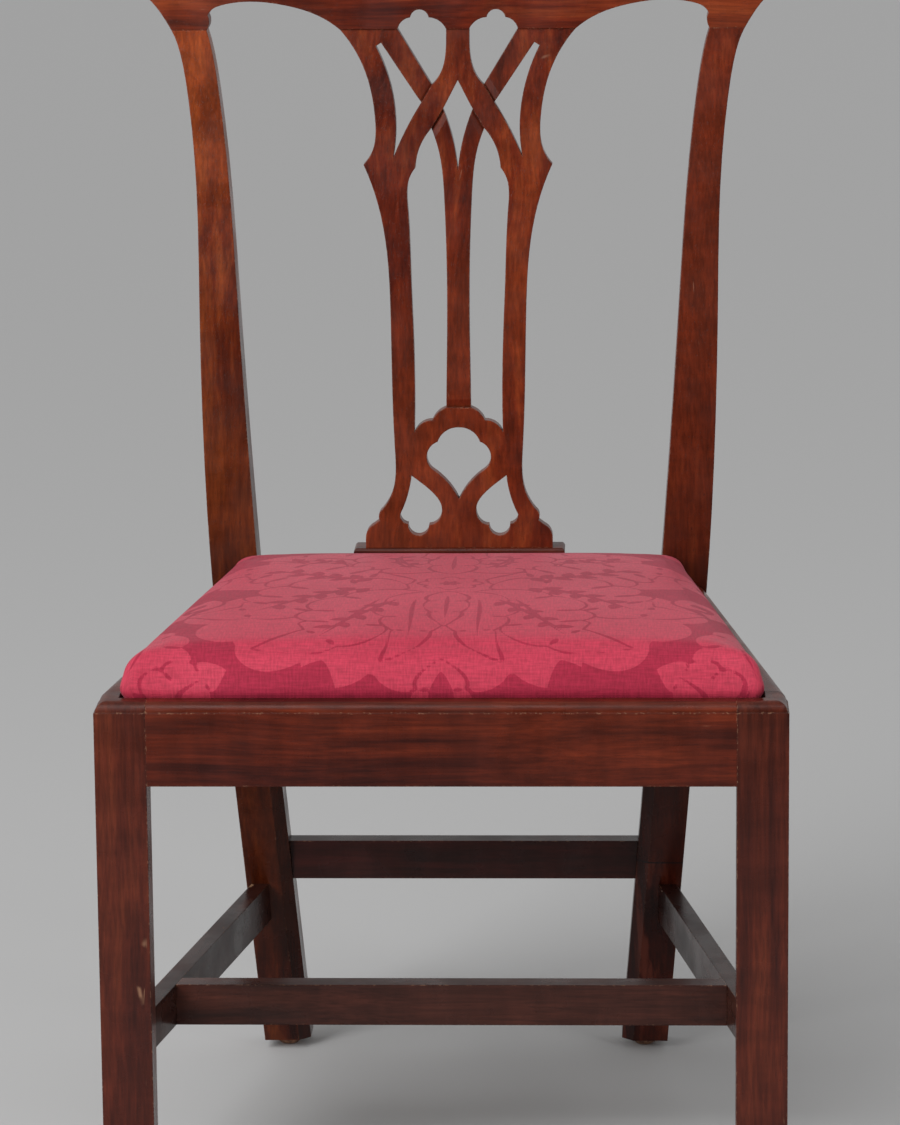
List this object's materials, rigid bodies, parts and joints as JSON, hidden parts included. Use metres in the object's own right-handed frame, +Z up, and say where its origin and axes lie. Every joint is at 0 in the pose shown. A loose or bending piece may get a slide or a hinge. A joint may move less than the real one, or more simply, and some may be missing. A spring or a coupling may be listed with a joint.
{
  "type": "dining side chair",
  "caption": "Mahogany side chair with a pierced interlaced splat, serpentine crest rail, square legs joined by stretchers, and a damask drop-in seat that lifts out.",
  "frame": {"origin": "on the floor, under the middle of the chair's outer box", "axes": "+Z up, the chair faces -Y, +X to the viewer's right when looking at its front"},
  "size_m": [0.563, 0.5406, 0.965],
  "materials": {
    "mahogany": "old reddish-brown mahogany, wax-polished over shellac, worn on the edges",
    "secondary_wood": "plain unfinished pine, darkened with age",
    "glide": "coppery brass, dulled",
    "tack": "hand-forged iron, dark",
    "webbing": "plain woven jute webbing",
    "base_cloth": "unbleached linen",
    "stuffing": "curled hair stuffing",
    "damask": "crimson damask, satin motif on a duller ground"
  },
  "bodies": {
    "frame": {"crest_rail": "mahogany", "rear_post_right": "mahogany", "rear_post_left": "mahogany", "splat": "mahogany", "shoe": "mahogany", "front_leg_right": "mahogany", "front_leg_left": "mahogany", "front_seat_rail": "mahogany", "rear_seat_rail": "mahogany", "side_seat_rail_right": "mahogany", "side_seat_rail_left": "mahogany", "side_stretcher_right": "mahogany", "side_stretcher_left": "mahogany", "medial_stretcher": "mahogany", "rear_stretcher": "mahogany", "corner_block_front_right": "secondary_wood", "corner_block_front_left": "secondary_wood", "corner_block_rear_right": "secondary_wood", "corner_block_rear_left": "secondary_wood", "glide_front_right": "glide", "glide_front_left": "glide", "glide_rear_right": "glide", "glide_rear_left": "glide"},
    "slip_seat": {"seat_frame_front": "secondary_wood", "seat_frame_rear": "secondary_wood", "seat_frame_right": "secondary_wood", "seat_frame_left": "secondary_wood", "webbing_lengthwise": "webbing", "webbing_crosswise": "webbing", "webbing_tacks": "tack", "base_cloth": "base_cloth", "stuffing_pad": "stuffing", "seat_cover": "damask", "cover_tacks": "tack"}
  },
  "joints": [
    {"name": "seat_lift", "type": "slide", "parent": "frame", "child": "slip_seat", "axis": [0, 0, 1], "range_m": [0, 0.12]}
  ]
}
